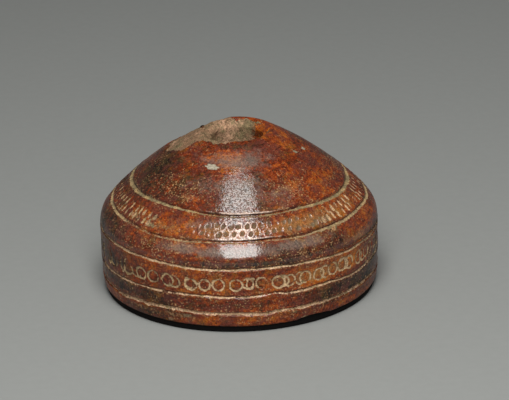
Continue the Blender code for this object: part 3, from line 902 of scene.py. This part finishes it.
# Painted highlight: pale pink on the burrs and dot ridges in front.
highlight_share = stepped(plus(amount_of("painted_highlight"), off_middle(grain(0.5, 3, 0.7, 46.0), 1.6)), 0.30, 0.85)
colour = blend(times(highlight_share, 0.85), colour, HIGHLIGHT_PINK)

# What lies on the slip: silt in films, earth in the cuts, bare clay where skin is lost; and a painted black
# shadow on the foot.
breakup = minus(grain(0.40, 4, 0.70, 20.0), 0.5)
silt_share = stepped(plus(amount_of("silt"), times(breakup, 2.6)), 0.45, 0.85)
silt_colour = blend(stepped(grain(0.8, 3, 0.6, 22.0), 0.42, 0.60), PINK_SILT, GREY_EARTH)
colour = blend(silt_share, colour, silt_colour)
earth_share = stepped(plus(amount_of("earth"), times(breakup, 2.2)), 0.34, 0.62)
greyer = minus(1.0, times(amount_of("pale"), 0.8))
greyer = times(stepped(grain(1.1, 4, 0.65, 24.0), 0.36, 0.56), greyer)
earth_colour = blend(greyer, PALE_EARTH, GREY_EARTH)
# The palest earth is near white: partly pale earth, partly a painted highlight where the lit lower edge of a
# cut catches the light.
earth_highlight = stepped(grain(0.9, 3, 0.7, 25.0), 0.30, 0.52)
earth_colour = blend(times(amount_of("pale"), earth_highlight), earth_colour, PALE_EARTH_AND_HIGHLIGHT)
colour = blend(earth_share, colour, earth_colour)
dot_share = stepped(plus(amount_of("dot_earth"), times(breakup, 1.6)), 0.40, 0.80)
dot_colour = blend(amount_of("strokes"), DULL_EARTH, earth_colour)
colour = blend(times(dot_share, 0.85), colour, dot_colour)
bare_share = stepped(plus(amount_of("bare"), times(breakup, 1.1)), 0.40, 0.60)
clay_colour = blend(stepped(grain(1.6, 5, 0.7, 28.0), 0.40, 0.62), WORN_CLAY, GREY_EARTH)
darker = stepped(grain(0.45, 4, 0.7, 27.0), 0.52, 0.62)
clay_colour = blend(times(darker, 0.8), clay_colour, DARK_CLAY)
pinker = plus(grain(0.42, 4, 0.75, 29.0), off_middle(grain(2.0, 2, 0.5, 48.0), 0.8))
clay_colour = blend(stepped(pinker, 0.58, 0.70), clay_colour, PINK_CLAY)
clay_colour = blend(amount_of("pale"), clay_colour, PALE_CLAY)
colour = blend(bare_share, colour, clay_colour)
crust_share = stepped(plus(amount_of("crust"), off_middle(grain(0.55, 5, 0.75, 62.0), 3.4)), 0.50, 1.05)
colour = blend(times(crust_share, 0.65), colour, PINK_CLAY)
speckle = node("ShaderNodeVectorMath", operation="SCALE")
links.new(colour, speckle.inputs[0])
unevenness = plus(3.4, off_middle(grain(5.0, 3, 0.6, 41.0), 6.0))
lighter = times(off_middle(grain(0.22, 3, 0.8, 40.0), 1.0), unevenness)
feed(speckle.inputs["Scale"], plus(1.0, lighter))
colour = speckle.outputs[0]
# Painted shadow: black on the foot, under the edge and in the chip.
foot_shadow_share = stepped(plus(amount_of("foot_shadow"), times(breakup, 0.5)), 0.35, 0.60)
colour = blend(foot_shadow_share, colour, SHADOW_BLACK)
# Painted shade: the black line along the upper side of each cut.
colour = blend(times(amount_of("groove_shade"), 0.9), colour, SHADOW_BLACK)

# Gloss: the rubbed skin shines with a fine broken grain, and whatever lies on it is dull.
dull = larger(larger(earth_share, silt_share), larger(bare_share, dot_share))
dull = larger(dull, larger(foot_shadow_share, amount_of("groove_shade")))
skin_rough = plus(0.32, off_middle(grain(0.26, 3, 0.7, 30.0), 0.9))
roughness = plus(times(skin_rough, minus(1.0, dull)), times(dull, 0.80))

# Fine relief: strokes of the pebble, a tight grain, small pits, and crumbs in the earth.
tight = grain(0.34, 2, 0.55, 32.0)
pits = stepped(grain(0.50, 2, 0.6, 34.0), 0.60, 0.72)
streaks = grain(1.2, 3, 0.6, 36.0, lie=flattened)
lift = plus(times(tight, 0.8), times(streaks, 0.5))
lift = minus(lift, times(pits, 0.35))
lift = plus(lift, times(dull, times(grain(0.30, 3, 0.7, 38.0), 1.6)))
bump = node("ShaderNodeBump")
bump.inputs["Strength"].default_value = 0.9
bump.inputs["Distance"].default_value = 0.00008
links.new(lift, bump.inputs["Height"])
varnish_bump = node("ShaderNodeBump")
feed(varnish_bump.inputs["Strength"], minus(0.9, times(amount_of("polish"), 0.35)))
varnish_bump.inputs["Distance"].default_value = 0.000026
links.new(lift, varnish_bump.inputs["Height"])

# The shine lies like a varnish on the rubbed grains and is broken between them. It dies away edge on.
grains = stepped(grain(0.24, 2, 0.7, 42.0), 0.44, 0.56)
grains = larger(grains, times(amount_of("polish"), 0.75))
grains = plus(0.12, times(grains, 0.88))
edge_on = node("ShaderNodeLayerWeight")
edge_on.inputs["Blend"].default_value = 0.5
shine = times(amount_of("gloss"), minus(1.0, dull))
shine = times(times(shine, grains), stepped(edge_on.outputs["Facing"], 0.85, 0.35))
shine = larger(shine, times(amount_of("glint"), 0.9))

skin = node("ShaderNodeBsdfPrincipled")
feed(skin.inputs["Base Color"], colour)
feed(skin.inputs["Roughness"], roughness)
feed(skin.inputs["Normal"], bump.outputs["Normal"])
skin.inputs["Specular IOR Level"].default_value = 0.12
feed(skin.inputs["Coat Weight"], shine)
skin.inputs["Coat Roughness"].default_value = 0.09
skin.inputs["Coat IOR"].default_value = 1.75
feed(skin.inputs["Coat Normal"], varnish_bump.outputs["Normal"])
links.new(skin.outputs[0], node("ShaderNodeOutputMaterial").inputs["Surface"])
mesh.materials.append(slip)

# The studio floor: one wide sheet of matt pale grey board that the whorl stands on.
FLOOR_HALF = 0.6
floor_mesh = bpy.data.meshes.new("studio_floor")
corners = ((-1, -1), (1, -1), (1, 1), (-1, 1))
floor_mesh.from_pydata([(FLOOR_HALF * x, FLOOR_HALF * y, 0) for x, y in corners], [], [(0, 1, 2, 3)])
floor = bpy.data.objects.new("studio_floor", floor_mesh)
bpy.context.scene.collection.objects.link(floor)
board = bpy.data.materials.new("pale board")
board.use_nodes = True
nodes, links = board.node_tree.nodes, board.node_tree.links
board_shader = nodes["Principled BSDF"]
board_shader.inputs["Roughness"].default_value = 0.9
board_shader.inputs["Specular IOR Level"].default_value = 0.2
fibre = node("ShaderNodeTexNoise")
fibre.inputs["Scale"].default_value = 900
fibre.inputs["Detail"].default_value = 3
BOARD_DARK = (0.345, 0.357, 0.345, 1)
BOARD_PALE = (0.370, 0.382, 0.370, 1)
feed(board_shader.inputs["Base Color"], blend(fibre.outputs["Fac"], BOARD_DARK, BOARD_PALE))
floor_mesh.materials.append(board)

# The light: one softbox in front of the camera, just above its line of sight and leaning back over the
# whorl, and an even dim fill all round.
SOFTBOX_WIDTH = 0.112
SOFTBOX_LOW = Vector((0.0, -0.262, 0.131))
SOFTBOX_HIGH = Vector((0.0, -0.010, 0.345))
SOFTBOX_POWER = 0.80
softbox = bpy.data.lights.new("softbox", "AREA")
softbox.shape = "RECTANGLE"
softbox.size = SOFTBOX_WIDTH
softbox.size_y = (SOFTBOX_HIGH - SOFTBOX_LOW).length
softbox.energy = SOFTBOX_POWER
softbox.color = (1.0, 0.99, 0.97)
box_up = (SOFTBOX_HIGH - SOFTBOX_LOW).normalized()
box_back = Vector((1, 0, 0)).cross(box_up)
softbox_object = bpy.data.objects.new("softbox", softbox)
softbox_object.matrix_world = Matrix.Translation((SOFTBOX_LOW + SOFTBOX_HIGH) / 2) @ Matrix(
    ((1, box_up.x, box_back.x), (0, box_up.y, box_back.y), (0, box_up.z, box_back.z))).to_4x4()
bpy.context.scene.collection.objects.link(softbox_object)

world = bpy.data.worlds.new("studio")
world.use_nodes = True
fill = world.node_tree.nodes["Background"]
fill.inputs["Color"].default_value = (0.66, 0.66, 0.66, 1)
fill.inputs["Strength"].default_value = 0.15
bpy.context.scene.world = world
bpy.context.scene.view_settings.view_transform = "Standard"

# The camera, a long lens 48 cm off. It looks 21 degrees down at the front and is turned a little on its axis.
CAMERA_FALL = math.radians(21.3)
CAMERA_ROLL = math.radians(-1.6)
CAMERA_DISTANCE = 0.47635
AIM = Vector((0, 0, 0.00721))
AIM_RIGHT, AIM_UP = -0.002082, -0.004083  # where the aim lies off the middle of the picture
right = Vector((1, 0, 0))
up = Vector((0, math.sin(CAMERA_FALL), math.cos(CAMERA_FALL)))
look = Vector((0, math.cos(CAMERA_FALL), -math.sin(CAMERA_FALL)))
camera_right = right * math.cos(CAMERA_ROLL) + up * math.sin(CAMERA_ROLL)
camera_up = up * math.cos(CAMERA_ROLL) - right * math.sin(CAMERA_ROLL)
camera_place = AIM - look * CAMERA_DISTANCE - camera_right * AIM_RIGHT - camera_up * AIM_UP
camera = bpy.data.objects.new("camera", bpy.data.cameras.new("camera"))
camera.data.lens = 247.5
camera.data.sensor_fit = "HORIZONTAL"
camera.data.sensor_width = 36.0
camera.data.clip_start = 0.01
camera_turn = Matrix((camera_right, camera_up, -look)).transposed()
camera.matrix_world = Matrix.Translation(camera_place) @ camera_turn.to_4x4()
bpy.context.scene.collection.objects.link(camera)
bpy.context.scene.camera = camera
